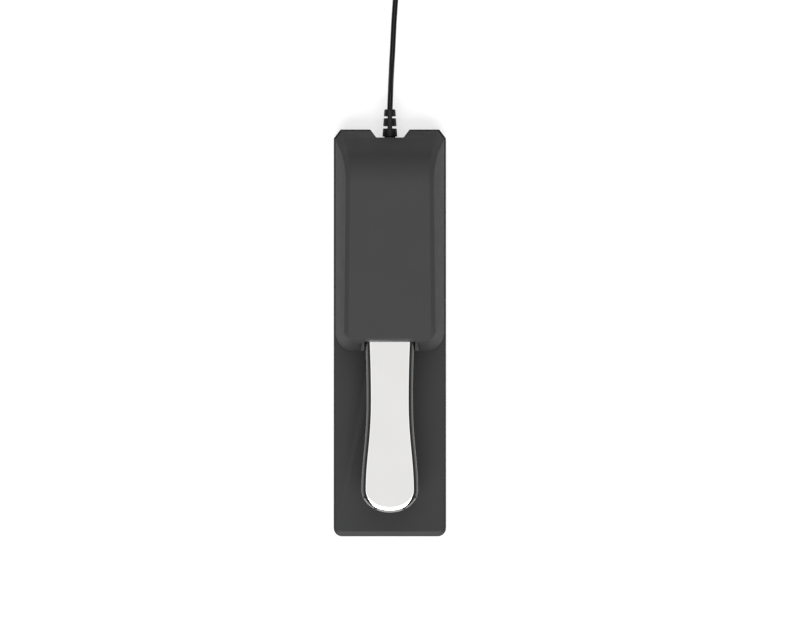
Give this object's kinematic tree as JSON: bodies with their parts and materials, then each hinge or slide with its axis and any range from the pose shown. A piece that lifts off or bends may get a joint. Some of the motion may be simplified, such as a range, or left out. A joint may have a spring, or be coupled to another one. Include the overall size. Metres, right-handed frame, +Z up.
{
  "type": "sustain pedal",
  "caption": "Piano-style sustain pedal: a chromed lever under a moulded cover on a long weighted base, with a captive lead and jack plug.",
  "frame": {"origin": "middle of the base's footprint, on the floor", "axes": "+Z up, +Y from the lever's nose towards the lead, +X to the right seen from above with the lead at the top"},
  "size_m": [0.0981, 0.4657, 0.0581],
  "materials": {
    "housing_plastic": "fine moulded texture, satin",
    "rubber": "matt moulded rubber",
    "chrome": "bright chrome plate on steel",
    "zinc_steel": "zinc plated",
    "switch_plastic": "smooth moulded",
    "nylon": "natural nylon",
    "felt": "dense felt",
    "board": "solder mask on glass laminate",
    "cord_jacket": "smooth PVC jacket",
    "wire_red": "thin PVC insulation",
    "nickel": "nickel plate"
  },
  "bodies": {
    "body": {"base_shell": "housing_plastic", "top_housing": "housing_plastic", "ballast_plate": "zinc_steel", "rubber_sole": "rubber", "polarity_switch_body": "switch_plastic", "housing_screw_rear_right": "zinc_steel", "housing_screw_rear_left": "zinc_steel", "housing_screw_front_right": "zinc_steel", "housing_screw_front_left": "zinc_steel", "pivot_bracket": "zinc_steel", "bracket_screw_left": "zinc_steel", "bracket_screw_right": "zinc_steel", "pivot_axle": "zinc_steel", "axle_clip_left": "zinc_steel", "axle_clip_right": "zinc_steel", "spring_seat_lower": "nylon", "return_spring": "zinc_steel", "up_stop_felt": "felt", "down_stop_bumper": "rubber", "circuit_board": "board", "board_screw_left": "zinc_steel", "board_screw_right": "zinc_steel", "switch_body": "switch_plastic", "wire_connector": "nylon", "inner_cable": "cord_jacket", "wire_signal": "wire_red", "wire_ground": "cord_jacket", "cable_clamp": "switch_plastic", "clamp_screw_left": "zinc_steel", "clamp_screw_right": "zinc_steel", "strain_relief": "rubber", "cord_run": "cord_jacket", "cord_tail": "cord_jacket", "cord_coil": "cord_jacket", "cord_tie": "felt", "plug_relief": "rubber", "plug_body": "switch_plastic", "plug_sleeve": "nickel", "plug_insulator": "switch_plastic", "plug_tip": "nickel"},
    "lever": {"pedal_lever": "chrome", "switch_finger": "nylon", "pivot_bush_left": "nylon", "pivot_bush_right": "nylon", "spring_seat_upper": "nylon"},
    "plunger": {"switch_plunger": "nylon"},
    "polarity": {"polarity_slide": "nylon"}
  },
  "joints": [
    {"name": "lever_hinge", "type": "hinge", "parent": "body", "child": "lever", "pos_m": [0, 0.055, 0.032], "axis": [1, 0, 0], "range_deg": [0, 5.4], "stiffness_Nm_per_rad": 22, "springref_deg": -3.44, "deforming": ["return_spring"]},
    {"name": "plunger_slide", "type": "slide", "parent": "body", "child": "plunger", "axis": [0, 0, 1], "range_m": [0, 0.0026]},
    {"name": "polarity_slide", "type": "slide", "parent": "body", "child": "polarity", "axis": [1, 0, 0], "range_m": [0, 0.004]}
  ],
  "couplings": [
    {"joint": "plunger_slide", "follows": "lever_hinge", "m_per_rad": 0.025}
  ]
}
